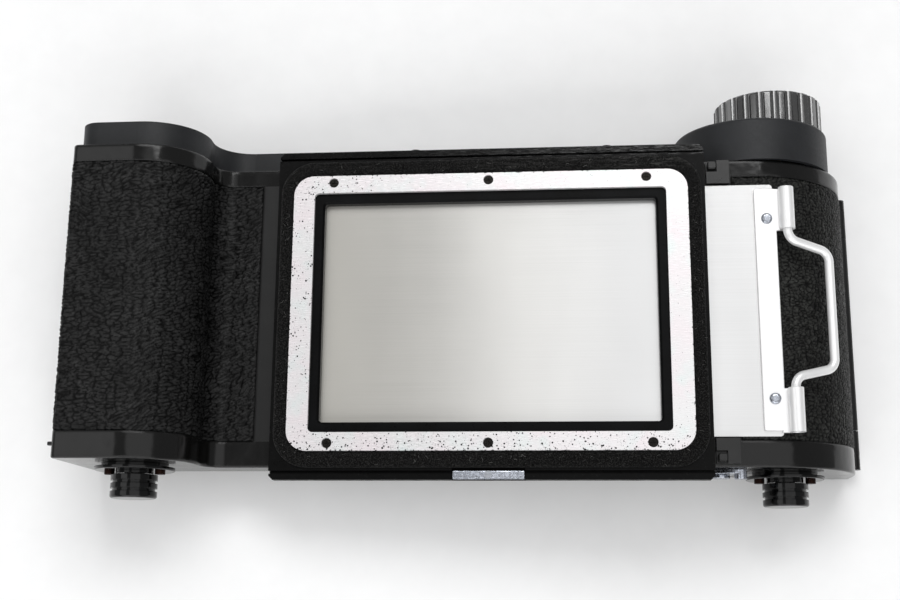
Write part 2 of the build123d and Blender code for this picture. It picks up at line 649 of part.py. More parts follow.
# ---- spool, idle stud and pull knobs ------------------------------------------------------------
SPOOL_FLANGE_T = 0.8
with BuildPart() as takeup_spool:
    disc(SPOOL_HALF, -SPOOL_HALF, TAKEUP, SPOOL_CORE_R)
    disc(SPOOL_HALF, SPOOL_HALF - 6, TAKEUP, 3.3, Mode.SUBTRACT)
    disc(-SPOOL_HALF + 6, -SPOOL_HALF, TAKEUP, 3.3, Mode.SUBTRACT)
    key_x = (TAKEUP[0] - 4.8, TAKEUP[0] + 4.8)
    key_z = (TAKEUP[1] - 0.9, TAKEUP[1] + 0.9)
    prism(SPOOL_HALF, SPOOL_HALF - 4.5, key_x, key_z, Mode.SUBTRACT)
    prism(-SPOOL_HALF + 4.5, -SPOOL_HALF, key_x, key_z, Mode.SUBTRACT)
    prism(24, -24, (TAKEUP[0] - 7, TAKEUP[0] + 7), (TAKEUP[1] - 0.75, TAKEUP[1] + 0.75), Mode.SUBTRACT)
save("takeup_spool", takeup_spool.part)

with BuildPart() as spool_flanges:
    for top in (SPOOL_HALF, -SPOOL_HALF + SPOOL_FLANGE_T):
        disc(top, top - SPOOL_FLANGE_T, TAKEUP, SPOOL_FLANGE_R)
        disc(top, top - SPOOL_FLANGE_T, TAKEUP, SPOOL_CORE_R, Mode.SUBTRACT)
save("spool_flanges", spool_flanges.part)

with BuildPart() as idle_stud:
    disc(CAVITY_HALF, 29.5, SUPPLY, PIN_R)
    fillet(idle_stud.edges().group_by(Axis.Y)[0], radius=0.8)
save("idle_stud", idle_stud.part)

FLANGE_TOP = -39.2
FLANGE_BOTTOM = -40.0
FLANGE_SCREW = 6.3  # distance of a flange's screws from its axis
PULL_R = 5.6
for name, axis in (("supply", SUPPLY), ("takeup", TAKEUP)):
    with BuildPart() as knob_flange:
        disc(FLANGE_TOP, FLANGE_BOTTOM, axis, 9.6)
        fillet(knob_flange.edges().group_by(Axis.Y)[0], radius=0.3)
        disc(-HALF_HEIGHT, FLANGE_TOP, axis, 8.0)
        disc(FLANGE_BOTTOM, -40.7, axis, 4.5)
        disc(-HALF_HEIGHT, -41, axis, PIN_R + RUN_FIT, Mode.SUBTRACT)
        for side in (FLANGE_SCREW, -FLANGE_SCREW):
            disc(-HALF_HEIGHT, -41, (axis[0] + side, axis[1]), 0.7, Mode.SUBTRACT)
    save(f"{name}_knob_flange", knob_flange.part)

    with BuildPart() as pull_knob:
        disc(PIN_TIP, -46.0, axis, PIN_R)
        disc(-41.0, -46.6, axis, PULL_R)
        fillet(pull_knob.edges().group_by(Axis.Y)[0], radius=0.6)
        chamfer(pull_knob.edges().group_by(Axis.Y)[-1], length=0.8)
        for y in (-42.7, -44.6):
            disc(y + 0.35, y - 0.35, axis, PULL_R + 0.5, Mode.SUBTRACT)
            disc(y + 0.35, y - 0.35, axis, PULL_R - 0.5)
    save(f"{name}_pull_knob", pull_knob.part)

with BuildPart() as flange_screws:
    sides = (FLANGE_SCREW, -FLANGE_SCREW)
    spots = [(axis[0] + side, axis[1]) for axis in (SUPPLY, TAKEUP) for side in sides]
    for spot in spots:
        disc(-HALF_HEIGHT, FLANGE_BOTTOM, spot, 0.7)
        disc(FLANGE_BOTTOM, FLANGE_BOTTOM - 0.8, spot, 1.25)
    with BuildSketch(level(FLANGE_BOTTOM - 0.4)):
        with Locations(*spots):
            Rectangle(3.2, 0.4)
    extrude(amount=0.5, mode=Mode.SUBTRACT)
save("flange_screws", flange_screws.part)

# ---- lock lever on the bottom -------------------------------------------------------------------
LEVER_PIVOT = (55.9, -13.5)
LEVER_TIP = (60.4, -9.6)
LEVER_TIP_R = 1.5
with BuildPart() as lock_lever:
    with BuildSketch(level(-38.5)):
        with Locations(LEVER_PIVOT):
            Circle(3.4)
        with Locations(LEVER_TIP):
            Circle(LEVER_TIP_R)
        make_hull()
    extrude(amount=1.0)
    with BuildSketch(level(-39.5)):
        with Locations(LEVER_TIP):
            Circle(LEVER_TIP_R)
    extrude(amount=1.4)
    disc(-38.5, -40, LEVER_PIVOT, 1.2 + RUN_FIT, Mode.SUBTRACT)
save("lock_lever", lock_lever.part)

with BuildPart() as lever_screw:
    disc(-HALF_HEIGHT, -39.6, LEVER_PIVOT, 1.2)
    disc(-39.6, -40.4, LEVER_PIVOT, 2.4)
    with BuildSketch(level(-40.0)):
        with Locations(LEVER_PIVOT):
            Rectangle(5, 0.5)
    extrude(amount=0.5, mode=Mode.SUBTRACT)
save("lever_screw", lever_screw.part)

# ---- film rollers -------------------------------------------------------------------------------
ROLLER_R = 1.5
for name, axis in (("roller_left", ROLLER_LEFT), ("roller_right", ROLLER_RIGHT)):
    with BuildPart() as roller:
        disc(32.9, -32.9, axis, ROLLER_R)
        disc(29.5, -29.5, axis, ROLLER_R, Mode.SUBTRACT)
        disc(29.5, -29.5, axis, ROLLER_R - 0.15)
        disc(32.9, -32.9, axis, ROLLER_PIN_R + RUN_FIT, Mode.SUBTRACT)
    save(name, roller.part)

with BuildPart() as roller_pins:
    for axis in (ROLLER_LEFT, ROLLER_RIGHT):
        disc(36, -36, axis, ROLLER_PIN_R)
save("roller_pins", roller_pins.part)

# ---- door ---------------------------------------------------------------------------------------
DOOR_HALF = 38.25
DOOR_LEATHER = (-93.0, 46.0)
DOOR_LEFT = -100.7
LATCH_STEP = 0.9
with BuildPart() as door:
    with BuildSketch(level(DOOR_HALF)):
        with BuildLine():
            outer_ends = s_curve(True, 0, RIGHT_WALL, DOOR_LEFT)
            inner_ends = s_curve(True, DOOR_WALL, RIGHT_WALL, DOOR_LEFT)
            for outer_end, inner_end in zip(outer_ends, inner_ends):
                Line(outer_end, inner_end)
        make_face()
    extrude(amount=2 * DOOR_HALF)
    # ribs of the light trap
    for y in (35.7, -35.7):
        prism(y + 0.4, y - 0.4, (-96.5, 50), (REAR + 1.2, REAR + DOOR_WALL + 1.1))
    # recess for the leatherette
    prism(LEATHER_TOP, -LEATHER_TOP, DOOR_LEATHER, (REAR - 1, REAR + LEATHER), Mode.SUBTRACT)
    # thinned edge with two notches for the latch's hooks
    prism(19, -13, (LEFT_WALL, -98.2), (REAR - 1, REAR + LATCH_STEP), Mode.SUBTRACT)
    for y in LATCH_Y:
        prism(y + 3.0, y - 3.0, (LEFT_WALL, -98.2), (REAR - 1, REAR + 2), Mode.SUBTRACT)
    # seat for the hinge leaf
    prism(26.4, -25.9, (84.0, RIGHT_WALL), (-39, -37.9), Mode.SUBTRACT)
save("door", door.part)

with BuildPart() as door_leather:
    prism(LEATHER_TOP, -LEATHER_TOP, DOOR_LEATHER, (REAR, REAR + LEATHER))
save("door_leather", door_leather.part)

with BuildPart() as door_hinge_leaf:
    prism(26.1, -25.6, (84.0, HINGE[0]), (-38.5, -37.9))
    disc(26.1, -25.6, HINGE, HINGE_R)
    disc(26.1, -25.6, HINGE, HINGE_PIN_R + RUN_FIT, Mode.SUBTRACT)
save("door_hinge_leaf", door_hinge_leaf.part)

with BuildPart() as body_hinge_leaf:
    for top, bottom in ((37.0, 26.4), (-25.9, -36.0)):
        prism(top, bottom, (RIGHT_WALL, RIGHT_WALL + 0.7), (HINGE[1], -34.6))
        disc(top, bottom, HINGE, HINGE_R)
        disc(top, bottom, HINGE, HINGE_PIN_R, Mode.SUBTRACT)
save("body_hinge_leaf", body_hinge_leaf.part)

with BuildPart() as hinge_pin:
    disc(37.0, -36.0, HINGE, HINGE_PIN_R)
save("hinge_pin", hinge_pin.part)

# ---- pressure plate and its leaf springs --------------------------------------------------------
PRESSURE_TOP = -10.85
PRESSURE_T = 1.0
with BuildPart() as pressure_plate:
    slab(PRESSURE_TOP - PRESSURE_T, PRESSURE_TOP, (92, 65.0), 1.5)
    edges_in = pressure_plate.faces().sort_by(Axis.Z)[-1].edges().filter_by(Axis.Y)
    chamfer(edges_in, length=0.6)
save("pressure_plate", pressure_plate.part)

SPRING_T = 0.3
SPRING_HALF = 22.0
door_inner = REAR + DOOR_WALL
spring_top = PRESSURE_TOP - PRESSURE_T - 0.05
spring_low = door_inner + 0.05
with BuildPart() as plate_springs:
    for x in (-25.0, 25.0):
        with BuildSketch(Plane.YZ.offset(x - 4)):
            with BuildLine():
                tip_left = (-SPRING_HALF, spring_top)
                tip_right = (SPRING_HALF, spring_top)
                under_left = (-SPRING_HALF, spring_top - SPRING_T)
                under_right = (SPRING_HALF, spring_top - SPRING_T)
                ThreePointArc(tip_left, (0, spring_low + SPRING_T), tip_right)
                Line(tip_right, under_right)
                ThreePointArc(under_right, (0, spring_low), under_left)
                Line(under_left, tip_left)
            make_face()
        extrude(amount=8)
        slab(door_inner, door_inner + 0.2, (6, 6), 0, (x, 0))
save("plate_springs", plate_springs.part)

# ---- door latch ---------------------------------------------------------------------------------
# The latch stands open here, its hooks in the door's notches; sliding it along -Y locks the door.
LATCH_OUT = LEFT_WALL - 0.05
HOOK_Z = (REAR + 0.1, REAR + LATCH_STEP - 0.1)
with BuildPart() as door_latch:
    prism(19, -7, (LATCH_OUT - 1.1, LATCH_OUT), (HOOK_Z[0], -5.2))
    for z in (-5.55, -6.55):
        prism(12, 0, (LATCH_OUT - 1.8, LATCH_OUT - 1.1), (z - 0.3, z + 0.3))
    for y in LATCH_Y:
        prism(y + 2.5, y - 2.5, (LATCH_OUT, -98.6), HOOK_Z)
    with BuildSketch(Plane.YZ.offset(LATCH_OUT - 1.1)):
        with Locations((0, -9), (12, -9)):
            SlotOverall(8.4, 2.4)
    extrude(amount=1.1, mode=Mode.SUBTRACT)
save("door_latch", door_latch.part)

HEAD_TOP = -102.9
HEAD_SEAT = -102.3
SCREW_END = -99.6
with BuildPart() as latch_screws:
    steps = ((LATCH_SCREW_R, LEFT_WALL, SCREW_END), (1.1, HEAD_SEAT, LEFT_WALL), (1.9, HEAD_TOP, HEAD_SEAT))
    for radius, x_out, x_in in steps:
        with BuildSketch(Plane.YZ.offset(x_out)):
            with Locations(*[(y, LATCH_Z) for y in LATCH_Y]):
                Circle(radius)
        extrude(amount=x_in - x_out)
    with BuildSketch(Plane.YZ.offset(HEAD_TOP)):
        with Locations(*[(y, LATCH_Z) for y in LATCH_Y]):
            Rectangle(4, 0.4)
    extrude(amount=0.3, mode=Mode.SUBTRACT)
save("latch_screws", latch_screws.part)
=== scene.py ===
"""Looks of the roll film back: leatherette skins, felt, dial numerals and all finishes, round the frame."""

import json
from math import atan2, cos, degrees, pi, radians, sin, sqrt, tan

import bpy
import numpy as np
from mathutils import Matrix, Vector


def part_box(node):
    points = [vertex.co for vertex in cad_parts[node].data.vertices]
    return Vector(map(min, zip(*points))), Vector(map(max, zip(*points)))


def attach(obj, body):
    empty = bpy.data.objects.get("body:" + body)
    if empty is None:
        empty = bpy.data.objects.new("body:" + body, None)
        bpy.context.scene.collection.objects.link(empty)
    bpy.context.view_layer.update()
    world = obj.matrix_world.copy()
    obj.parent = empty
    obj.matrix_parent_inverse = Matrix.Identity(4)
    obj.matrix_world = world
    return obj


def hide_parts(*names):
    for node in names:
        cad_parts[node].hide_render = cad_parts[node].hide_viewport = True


MM = 0.001

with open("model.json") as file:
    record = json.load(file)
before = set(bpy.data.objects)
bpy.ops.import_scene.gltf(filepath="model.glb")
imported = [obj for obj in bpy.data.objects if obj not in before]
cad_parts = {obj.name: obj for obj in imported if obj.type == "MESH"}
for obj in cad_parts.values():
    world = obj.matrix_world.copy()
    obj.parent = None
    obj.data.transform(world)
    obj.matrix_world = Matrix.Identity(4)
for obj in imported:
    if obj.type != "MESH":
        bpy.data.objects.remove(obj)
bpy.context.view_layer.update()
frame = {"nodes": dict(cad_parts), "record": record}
cad = frame["nodes"]
rng = np.random.default_rng(29)


# ---- noise in plain numbers, for displaced meshes -----------------------------------------------
def lattice(column, row, seed):
    """Pseudo-random number from 0 to 1 at each whole-number lattice point."""
    mixed = (column * 374761393 + row * 668265263 + seed * 362437 + 7919) & 0xFFFFFFFF
    mixed = ((mixed ^ (mixed >> 13)) * 1274126177) & 0xFFFFFFFF
    return ((mixed ^ (mixed >> 16)) & 0xFFFF) / 65535.0


def soft_noise(x, y, seed):
    """Smooth noise from -1 to 1 with features about one unit across."""
    column = np.floor(x).astype(np.int64)
    row = np.floor(y).astype(np.int64)
    s = x - column
    t = y - row
    s = s * s * (3 - 2 * s)
    t = t * t * (3 - 2 * t)
    low = lattice(column, row, seed) * (1 - s) + lattice(column + 1, row, seed) * s
    high = lattice(column, row + 1, seed) * (1 - s) + lattice(column + 1, row + 1, seed) * s
    return 2 * (low * (1 - t) + high * t) - 1


def cell_ridge(x, y, seed):
    """Distance from the nearest border of random cells about one unit across: 0 in the creases."""
    column = np.floor(x).astype(np.int64)
    row = np.floor(y).astype(np.int64)
    first = np.full(x.shape, 9.0)
    second = np.full(x.shape, 9.0)
    for i in (-1, 0, 1):
        for j in (-1, 0, 1):
            seed_x = column + i + 0.5 + 0.86 * (lattice(column + i, row + j, seed) - 0.5)
            seed_y = row + j + 0.5 + 0.86 * (lattice(column + i, row + j, seed + 31) - 0.5)
            away = np.hypot(x - seed_x, y - seed_y)
            second = np.where(away < first, first, np.minimum(second, away))
            first = np.minimum(first, away)
    return second - first


def step_up(value, low, high):
    """Smooth step from 0 below low to 1 above high."""
    t = np.clip((value - low) / (high - low), 0, 1)
    return t * t * (3 - 2 * t)


# ---- building blocks for materials --------------------------------------------------------------
def node(tree, kind, inputs=None, **settings):
    """Add a shader node. Inputs are plain values or other nodes' output sockets."""
    made = tree.nodes.new("ShaderNode" + kind)
    for key, value in settings.items():
        setattr(made, key, value)
    for key, value in (inputs or {}).items():
        if isinstance(value, bpy.types.NodeSocket):
            tree.links.new(value, made.inputs[key])
        else:
            made.inputs[key].default_value = value
    return made


def places(tree, stretch=(1, 1, 1)):
    """Object coordinates in millimetres, stretched along the axes."""
    coordinate = node(tree, "TexCoord")
    scale = tuple(factor / MM for factor in stretch)
    return node(tree, "Mapping", {"Vector": coordinate.outputs["Object"], "Scale": scale}).outputs[0]


def noise(tree, where, scale, detail=4.0, rough=0.55):
    """Noise from 0 to 1, scale in features per millimetre."""
    inputs = {"Vector": where, "Scale": scale, "Detail": detail, "Roughness": rough}
    return node(tree, "TexNoise", inputs).outputs[0]


def spread(tree, value, low, high, to_low=0.0, to_high=1.0):
    """Map a range onto another, clamped."""
    inputs = {0: value, 1: low, 2: high, 3: to_low, 4: to_high}
    return node(tree, "MapRange", inputs, clamp=True).outputs[0]


def calc(tree, operation, first, second=0.0):
    """One sum on two values."""
    return node(tree, "Math", {0: first, 1: second}, operation=operation).outputs[0]


def mix(tree, factor, first, second):
    """Blend of two colours."""
    inputs = {0: factor, 6: first, 7: second}
    return node(tree, "Mix", inputs, data_type="RGBA").outputs[2]


def grey(value, tint=(1.0, 1.0, 1.0)):
    """Colour of one brightness with a slight tint."""
    return (value * tint[0], value * tint[1], value * tint[2], 1.0)


def bump(tree, height, depth_mm, strength=1.0, rounding_mm=0.0):
    """Normal from a height field of a depth in millimetres, over edges softened by a rounding radius."""
    inputs = {"Strength": strength, "Distance": depth_mm * MM, "Height": height}
    if rounding_mm:
        inputs["Normal"] = node(tree, "Bevel", {"Radius": rounding_mm * MM}, samples=6).outputs[0]
    return node(tree, "Bump", inputs).outputs[0]


def new_material(name, **constants):
    """Material whose Principled shader has some constant inputs."""
    material = bpy.data.materials.new(name)
    material.use_nodes = True
    shader = material.node_tree.nodes["Principled BSDF"]
    for key, value in constants.items():
        shader.inputs[key.replace("_", " ").title().replace("Ior", "IOR")].default_value = value
    return material, material.node_tree, shader


def wire(tree, shader, colour=None, roughness=None, normal=None, metallic=None):
    """Connect what varies over the surface."""
    varying = {"Base Color": colour, "Roughness": roughness, "Normal": normal, "Metallic": metallic}
    for key, value in varying.items():
        if value is not None:
            tree.links.new(value, shader.inputs[key])


def finish_material(name, dark, light, rough, grain, depth, stretch=(1, 1, 1), rounding=0.0, **constants):
    """A finish that varies gently: blotches between two colours, a roughness range and a fine grain."""
    material, tree, shader = new_material(name, **constants)
    where = places(tree, stretch)
    blotch = spread(tree, noise(tree, where, 0.12), 0.35, 0.65)
    fine = noise(tree, where, grain, 3.0)
    wire(
        tree,
        shader,
        colour=mix(tree, blotch, dark, light),
        roughness=spread(tree, noise(tree, where, grain / 4), 0.3, 0.7, *rough),
        normal=bump(tree, fine, depth, rounding_mm=rounding),
    )
    return material


# ---- materials: places on the back are in millimetres -------------------------------------------
SATIN_BAND = (-32, 34)  # the enamel is satin between these Y and glossy beyond them
RAIL_EDGE = 39.1  # the plate's upper rail begins here
MASK_HALF = (49.5, 35.05)  # half width and height of the silver mask
SPECK_SIZES = ((1.1, 0.34), (2.6, 0.26), (0.5, 0.15))  # specks per millimetre, and their reach

WARM = (1.0, 0.985, 0.95)
GREENISH = (0.98, 1.0, 0.93)
YELLOWISH = (1.0, 0.97, 0.89)
COOL = (0.92, 0.97, 1.08)


def gloss_black():
    """Glossy enamel at the ends of the body and satin between them, with dust and hairline scratches."""
    material, tree, shader = new_material("gloss_black", specular_ior_level=0.36)
    where = places(tree)
    split = node(tree, "SeparateXYZ", {0: where})
    below_top = spread(tree, split.outputs[1], SATIN_BAND[1] - 0.1, SATIN_BAND[1] + 0.1, 1.0, 0.0)
    above_bottom = spread(tree, split.outputs[1], SATIN_BAND[0] - 0.1, SATIN_BAND[0] + 0.1)
    satin = calc(tree, "MULTIPLY", below_top, above_bottom)
    scratches = spread(tree, noise(tree, places(tree, (0.15, 9, 1)), 0.6, 5.0, 0.7), 0.67, 0.74)
    dust = spread(tree, noise(tree, where, 4.0, 2.0), 0.70, 0.78)
    wear = calc(tree, "MAXIMUM", calc(tree, "MULTIPLY", scratches, 0.35), dust)
    base = mix(tree, satin, grey(0.004, WARM), grey(0.001))
    gloss = spread(tree, noise(tree, where, 0.25), 0.3, 0.7, 0.10, 0.17)
    satin_rough = calc(tree, "MULTIPLY", satin, 0.30)
    ripple = noise(tree, where, 0.16, 2.0)
    wire(
        tree,
        shader,
        colour=mix(tree, calc(tree, "MULTIPLY", wear, 0.3), base, grey(0.10, WARM)),
        roughness=calc(tree, "ADD", calc(tree, "ADD", gloss, satin_rough), calc(tree, "MULTIPLY", wear, 0.2)),
        normal=bump(tree, ripple, 0.25, 0.5, rounding_mm=1.0),
    )
    return material


def plate_black():
    """Satin plate with grime and a rail along its top edge that is scuffed towards the winding side."""
    material, tree, shader = new_material("plate_black", specular_ior_level=0.08)
    where = places(tree)
    split = node(tree, "SeparateXYZ", {0: where})
    on_rail = spread(tree, split.outputs[1], RAIL_EDGE - 0.3, RAIL_EDGE + 0.3)
    to_right = spread(tree, split.outputs[0], -25, 45, 0.0, 1.0)
    streaks = noise(tree, places(tree, (0.35, 5, 5)), 1.1, 6.0, 0.75)
    scuff = spread(tree, streaks, 0.50, 0.64)
    scuff = calc(tree, "MULTIPLY", scuff, calc(tree, "MULTIPLY", on_rail, to_right))
    grime = spread(tree, noise(tree, where, 1.8, 6.0, 0.7), 0.60, 0.74, 0.0, 0.10)
    worn = calc(tree, "MAXIMUM", calc(tree, "MULTIPLY", scuff, 0.9), grime)
    rough = spread(tree, noise(tree, where, 0.5), 0.3, 0.7, 0.26, 0.40)
    wire(
        tree,
        shader,
        colour=mix(tree, worn, grey(0.002), grey(0.20)),
        roughness=calc(tree, "SUBTRACT", rough, calc(tree, "MULTIPLY", on_rail, 0.06)),
        normal=bump(tree, noise(tree, where, 7.0, 3.0), 0.012),
    )
    return material


def leatherette(name, dark, light):
    """Black leatherette: painted shade darkens the creases and a painted highlight lightens the crests, with
    a fine pore bump.
    """
    material, tree, shader = new_material(name, specular_ior_level=0.13)
    where = places(tree)
    crest = node(tree, "Attribute", attribute_name="crest").outputs["Fac"]
    cloudy = spread(tree, noise(tree, where, 0.07, 3.0), 0.3, 0.7, 0.6, 1.0)
    # painted light: the colour follows the grain's height, lighter on the crests as a painted highlight and
    # darker in the creases as painted shade
    lit = calc(tree, "MULTIPLY", spread(tree, crest, 0.52, 1.0), cloudy)
    painted_crest_light = calc(tree, "MULTIPLY", lit, spread(tree, noise(tree, where, 1.6, 3.0), 0.35, 0.7, 0.35, 1.0))
    wire(
        tree,
        shader,
        colour=mix(tree, painted_crest_light, dark, light),
        roughness=spread(tree, noise(tree, where, 0.9, 4.0), 0.3, 0.7, 0.30, 0.52),
        normal=bump(tree, noise(tree, where, 4.0, 3.0), 0.09, 0.9),
    )
    return material


def felt():
    """Black velvet with short nap, faded and dusty in streaks along the top."""
    material, tree, shader = new_material(
        "felt", specular_ior_level=0.05, roughness=0.95, sheen_weight=0.08, sheen_roughness=0.5
    )
    where = places(tree)
    split = node(tree, "SeparateXYZ", {0: where})
    nap = noise(tree, where, 3.5, 5.0, 0.7)
    along_top = spread(tree, split.outputs[1], 34.9, 36.0)
    to_right = spread(tree, split.outputs[0], -20, 40, 0.0, 1.0)
    streaks = spread(tree, noise(tree, places(tree, (0.4, 3, 1)), 0.9, 5.0, 0.7), 0.5, 0.72)
    dust = calc(tree, "MULTIPLY", streaks, calc(tree, "MULTIPLY", along_top, to_right))
    base = mix(tree, spread(tree, nap, 0.48, 0.66), grey(0.0005), grey(0.034, WARM))
    wire(
        tree,
        shader,
        colour=mix(tree, calc(tree, "MULTIPLY", dust, 0.65), base, grey(0.10, WARM)),
        normal=bump(tree, nap, 0.3),
    )
    return material


def mask_silver():
    """Satin silver plating with faint rainbow tints, pitted with black specks and chipped at its edges."""
    material, tree, shader = new_material("mask_silver", specular_ior_level=0.6)
    where = places(tree)
    split = node(tree, "SeparateXYZ", {0: where})
    blush = spread(tree, noise(tree, where, 0.09, 2.0), 0.35, 0.65)
    pink = mix(tree, blush, grey(0.80), (0.83, 0.77, 0.79, 1))
    green = spread(tree, noise(tree, where, 0.16, 2.0), 0.5, 0.75)
    tinted = mix(tree, green, pink, (0.75, 0.81, 0.80, 1))
    low = spread(tree, split.outputs[1], -28, -34)
    high_left = spread(tree, calc(tree, "ADD", split.outputs[0], split.outputs[1]), 18, 4)
    patches = spread(tree, noise(tree, where, 0.14, 3.0), 0.38, 0.62, 0.0, 1.0)
    crowd = calc(tree, "MAXIMUM", low, calc(tree, "MULTIPLY", patches, high_left))
    black = None
    for size, reach in SPECK_SIZES:
        wavy = node(tree, "TexVoronoi", {"Vector": where, "Scale": size, "Randomness": 1.0})
        limit = calc(tree, "MULTIPLY", noise(tree, where, 0.8, 3.0), reach)
        limit = calc(tree, "MULTIPLY", limit, calc(tree, "ADD", crowd, 0.45))
        spot = calc(tree, "LESS_THAN", wavy.outputs["Distance"], limit)
        black = spot if black is None else calc(tree, "MAXIMUM", black, spot)
    chip_noise = spread(tree, noise(tree, where, 0.9, 5.0, 0.75), 0.52, 0.8, 0.0, 1.1)
    side = calc(tree, "ADD", calc(tree, "ABSOLUTE", split.outputs[0]), chip_noise)
    end = calc(tree, "ADD", calc(tree, "ABSOLUTE", split.outputs[1]), chip_noise)
    for value, edge in ((side, MASK_HALF[0]), (end, MASK_HALF[1])):
        black = calc(tree, "MAXIMUM", black, spread(tree, value, edge - 0.15, edge))
    brushed = noise(tree, places(tree, (0.3, 6, 1)), 1.5, 3.0)
    relief = calc(tree, "SUBTRACT", brushed, calc(tree, "MULTIPLY", black, 4.0))
    wire(
        tree,
        shader,
        colour=mix(tree, black, tinted, grey(0.012)),
        metallic=spread(tree, black, 0, 1, 0.28, 0.0),
        roughness=spread(tree, brushed, 0.3, 0.7, 0.20, 0.30),
        normal=bump(tree, relief, 0.004),
    )
    return material


def brushed_aluminium(name, colour, rough):
    """Aluminium brushed along X, with a painted reflection that is warmer and a little darker to the left,
    painted reflection as soft darker cloudy bands, and a few scratches.
    """
    material, tree, shader = new_material(name, metallic=0.62)
    lines = noise(tree, places(tree, (0.012, 6.0, 1.0)), 2.2, 4.0, 0.65)
    painted_reflection_clouds = spread(tree, noise(tree, places(tree, (1.0, 0.35, 1.0)), 0.045, 2.0), 0.3, 0.7)
    scratches = spread(tree, noise(tree, places(tree, (0.03, 3.0, 1.0)), 1.3, 2.0, 0.8), 0.70, 0.75)
    across = node(tree, "SeparateXYZ", {0: places(tree)}).outputs[0]
    # painted reflection: the colour is warmer and a little darker towards the left
    tint = mix(tree, spread(tree, across, -45, 35), grey(colour, YELLOWISH), grey(colour * 1.03))
    streaky = mix(tree, spread(tree, lines, 0.35, 0.65, 0.10, 0.0), tint, grey(0.2))
    # painted reflection: soft cloudy bands darken the colour
    shade = mix(tree, calc(tree, "MULTIPLY", painted_reflection_clouds, 0.14), streaky, grey(0.3))
    roughness = spread(tree, lines, 0.3, 0.7, rough, rough + 0.05)
    wire(
        tree,
        shader,
        colour=shade,
        roughness=calc(tree, "ADD", roughness, calc(tree, "MULTIPLY", scratches, 0.05)),
        normal=bump(tree, lines, 0.006, 0.7),
    )
    return material


def chrome():
    """Worn chrome: bright with scratches, dull patches and dark pits."""
    material, tree, shader = new_material("chrome", metallic=1.0)
    where = places(tree)
    scratch = spread(tree, noise(tree, places(tree, (0.6, 6, 6)), 1.2, 6.0, 0.75), 0.55, 0.66)
    dull = spread(tree, noise(tree, where, 1.2, 5.0, 0.7), 0.45, 0.7)
    pits = spread(tree, noise(tree, where, 2.6, 3.0), 0.63, 0.68)
    bright = mix(tree, dull, grey(0.55, COOL), grey(0.24, COOL))
    marks = calc(tree, "MAXIMUM", calc(tree, "MULTIPLY", scratch, 0.4), pits)
    wire(
        tree,
        shader,
        colour=mix(tree, marks, bright, grey(0.10)),
        roughness=spread(tree, dull, 0, 1, 0.10, 0.38),
        normal=bump(tree, scratch, 0.012, rounding_mm=0.3),
    )
    return material


def dark_metal(name, base, rough, tint=(1.0, 0.9, 0.78)):
    """Blackened screw steel, a little bare in random patches."""
    material, tree, shader = new_material(name, metallic=0.85)
    where = places(tree)
    bare = spread(tree, noise(tree, where, 2.2, 4.0), 0.58, 0.74)
    wire(
        tree,
        shader,
        colour=mix(tree, bare, grey(base, tint), grey(base * 4, tint)),
        roughness=spread(tree, noise(tree, where, 1.5), 0.3, 0.7, rough, rough + 0.2),
        normal=bump(tree, noise(tree, where, 5.0), 0.01),
    )
    return material


def glass():
    """Clear window with a trace of haze."""
    material, tree, shader = new_material("window_glass", transmission_weight=1.0, ior=1.45)
    where = places(tree)
    haze = noise(tree, where, 1.5, 3.0)
    colour = mix(tree, spread(tree, haze, 0.4, 0.7), grey(0.97, COOL), grey(0.88, COOL))
    wire(tree, shader, colour=colour, roughness=spread(tree, haze, 0.3, 0.8, 0.02, 0.10))
    return material


FINISHES = {
    "gloss_black": gloss_black(),
    "felt": felt(),
    "leatherette": leatherette("leatherette", grey(0.0004), grey(0.040)),
    "mask_silver": mask_silver(),
    "matte_black": finish_material(
        "matte_black", grey(0.002), grey(0.004, COOL), (0.26, 0.36), 6.0, 0.012, specular_ior_level=0.07
    ),
    "dark_steel": dark_metal("dark_steel", 0.012, 0.32),
    "chrome": chrome(),
    "aluminium": brushed_aluminium("aluminium", 0.80, 0.13),
    "cover_charcoal": finish_material(
        "cover_charcoal", grey(0.013, COOL), grey(0.018, COOL), (0.44, 0.55), 7.0, 0.016,
        specular_ior_level=0.30,
    ),
    "knob_black": finish_material(
        "knob_black", grey(0.003), grey(0.006, WARM), (0.15, 0.22), 3.0, 0.003,
        specular_ior_level=1.0, ior=1.9,
    ),
    "window_glass": glass(),
    "steel": finish_material(
        "steel", grey(0.42), grey(0.52, COOL), (0.22, 0.36), 2.0, 0.008, (1, 0.1, 1), metallic=1.0
    ),
    "brass": finish_material(
        "brass", (0.36, 0.20, 0.09, 1), (0.52, 0.31, 0.13, 1), (0.30, 0.46), 3.0, 0.01, metallic=1.0
    ),
    "dial_white": finish_material("dial_white", grey(0.66, WARM), grey(0.76, WARM), (0.45, 0.6), 5.0, 0.006),
    "spool_plastic": finish_material("spool_plastic", grey(0.020), grey(0.028), (0.25, 0.38), 4.0, 0.01),
}
bracket_finish = finish_material(
    "bracket_black", grey(0.004), grey(0.012), (0.26, 0.40), 2.0, 0.010, specular_ior_level=0.4
)
handle_finish = finish_material(
    "handle_aluminium", grey(0.88), grey(0.93), (0.28, 0.38), 1.2, 0.006, (1, 0.15, 1),
    rounding=0.5, metallic=0.4,
)
pull_finish = finish_material(
    "pull_black", grey(0.001), grey(0.002, COOL), (0.06, 0.12), 1.0, 0.002,
    rounding=0.25, specular_ior_level=0.35,
)
